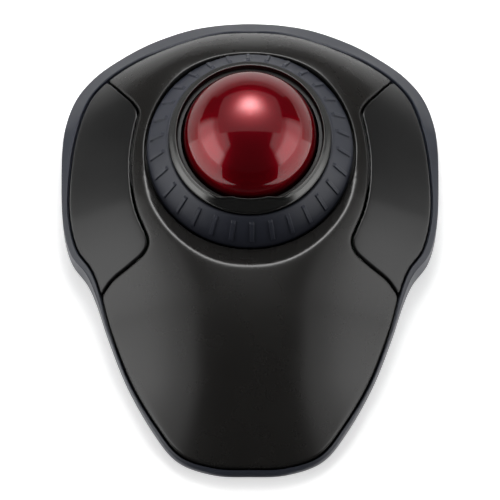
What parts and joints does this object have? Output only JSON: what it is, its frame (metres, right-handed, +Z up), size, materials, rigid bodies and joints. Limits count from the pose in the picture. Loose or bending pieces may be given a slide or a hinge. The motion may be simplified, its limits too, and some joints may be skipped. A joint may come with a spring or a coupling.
{
  "type": "trackball mouse",
  "caption": "Stationary hand pointing device: a large ball in a raised cup turned by the fingers, a ribbed scroll ring around it, side buttons and a sloping palm rest.",
  "frame": {"origin": "middle of the footprint, on the table under the feet", "axes": "+X to the user's right, +Y away from the user towards the ball end, +Z up"},
  "size_m": [0.1162, 0.1524, 0.058],
  "materials": {
    "rim_slate": "satin moulded, dark slate navy",
    "base_black": "fine matte moulding",
    "shell_black": "soft-touch matte black",
    "button_black": "matte black, slightly smoother than the shell",
    "bezel_gunmetal": "glossy metallic gunmetal paint",
    "scroll_rubber": "ribbed rubber, slate navy",
    "inner_plastic": "plain black moulding",
    "glide_white": "smooth slippery plastic",
    "ball_red": "polished translucent red resin with a clear coat",
    "ceramic_white": "polished ceramic",
    "circuit_green": "solder mask over glass laminate",
    "chip_black": "moulded epoxy",
    "lens_clear": "clear moulded optic",
    "pin_steel": "ground pin",
    "plunger_red": "small smooth plunger",
    "can_metal": "pressed metal can",
    "cell_wrap": "plain printed sleeve",
    "spring_nickel": "nickel plated",
    "control_grey": "grey moulded plastic",
    "receiver_black": "plain black moulding",
    "foot_rubber": "soft grey-black rubber",
    "screw_steel": "plain steel"
  },
  "bodies": {
    "housing": {"side_frame": "rim_slate", "base_plate": "base_black", "top_cover": "shell_black", "bezel_ring": "bezel_gunmetal", "ball_cup": "inner_plastic", "ring_glide": "glide_white", "ring_code_sensor": "chip_black", "support_ball_left": "ceramic_white", "support_ball_right": "ceramic_white", "support_ball_far": "ceramic_white", "sensor_board": "circuit_green", "sensor_chip": "chip_black", "sensor_lens": "lens_clear", "left_hinge_pin": "pin_steel", "right_hinge_pin": "pin_steel", "left_switch_body": "chip_black", "right_switch_body": "chip_black", "main_board": "circuit_green", "controller_chip": "chip_black", "board_capacitor": "can_metal", "board_crystal": "can_metal", "battery_tray": "inner_plastic", "battery_cell_front": "cell_wrap", "battery_cell_rear": "cell_wrap", "contact_plate_front": "spring_nickel", "contact_plate_rear": "spring_nickel", "contact_spring_front": "spring_nickel", "contact_spring_rear": "spring_nickel", "battery_link": "spring_nickel", "control_board": "circuit_green", "power_switch_body": "can_metal", "pair_switch_body": "chip_black", "foot_far_left": "foot_rubber", "foot_far_right": "foot_rubber", "foot_near_left": "foot_rubber", "foot_near_right": "foot_rubber", "housing_screw_far_left": "screw_steel", "housing_screw_far_right": "screw_steel", "housing_screw_near_left": "screw_steel", "housing_screw_near_right": "screw_steel", "cup_screw_far_left": "screw_steel", "cup_screw_far_right": "screw_steel", "cup_screw_near_left": "screw_steel", "cup_screw_near_right": "screw_steel"},
    "scroll": {"scroll_ring": "scroll_rubber", "ring_carrier": "inner_plastic"},
    "ball": {"trackball": "ball_red"},
    "left_button": {"left_button": "button_black"},
    "right_button": {"right_button": "button_black"},
    "left_plunger": {"left_plunger": "plunger_red"},
    "right_plunger": {"right_plunger": "plunger_red"},
    "power_slider": {"power_slider": "control_grey"},
    "pair_button": {"pair_button": "control_grey"},
    "battery_door": {"battery_door": "base_black"},
    "receiver": {"receiver_cap": "receiver_black", "receiver_plug": "can_metal"}
  },
  "joints": [
    {"name": "scroll_ring_spin", "type": "hinge", "parent": "housing", "child": "scroll", "pos_m": [0, 0.0192, 0.02895], "axis": [0, -0.1045, 0.9945], "continuous": true},
    {"name": "trackball_roll", "type": "hinge", "parent": "housing", "child": "ball", "pos_m": [0, 0.01825, 0.038], "axis": [1, 0, 0], "continuous": true},
    {"name": "left_button_press", "type": "hinge", "parent": "housing", "child": "left_button", "pos_m": [-0.0435, 0.0435, 0.0088], "axis": [1, 0, 0], "range_deg": [0, 1], "stiffness_Nm_per_rad": 1.3, "springref_deg": -1},
    {"name": "left_plunger_travel", "type": "slide", "parent": "housing", "child": "left_plunger", "axis": [0, 0, -1], "range_m": [0, 0.0007]},
    {"name": "right_button_press", "type": "hinge", "parent": "housing", "child": "right_button", "pos_m": [0.0435, 0.0435, 0.0088], "axis": [1, 0, 0], "range_deg": [0, 1], "stiffness_Nm_per_rad": 1.3, "springref_deg": -1},
    {"name": "right_plunger_travel", "type": "slide", "parent": "housing", "child": "right_plunger", "axis": [0, 0, -1], "range_m": [0, 0.0007]},
    {"name": "power_slide", "type": "slide", "parent": "housing", "child": "power_slider", "axis": [1, 0, 0], "range_m": [0, 0.003]},
    {"name": "pair_button_press", "type": "slide", "parent": "housing", "child": "pair_button", "axis": [0, 0, 1], "range_m": [0, 0.0004], "stiffness_N_per_m": 800, "springref_m": -0.0005},
    {"name": "battery_door_off", "type": "slide", "parent": "housing", "child": "battery_door", "axis": [0, 0, -1], "range_m": [0, 0.02]},
    {"name": "receiver_out", "type": "slide", "parent": "housing", "child": "receiver", "axis": [0, 0, -1], "range_m": [0, 0.015]}
  ],
  "couplings": [
    {"joint": "left_plunger_travel", "follows": "left_button_press", "m_per_rad": 0.0375},
    {"joint": "right_plunger_travel", "follows": "right_button_press", "m_per_rad": 0.0375}
  ]
}
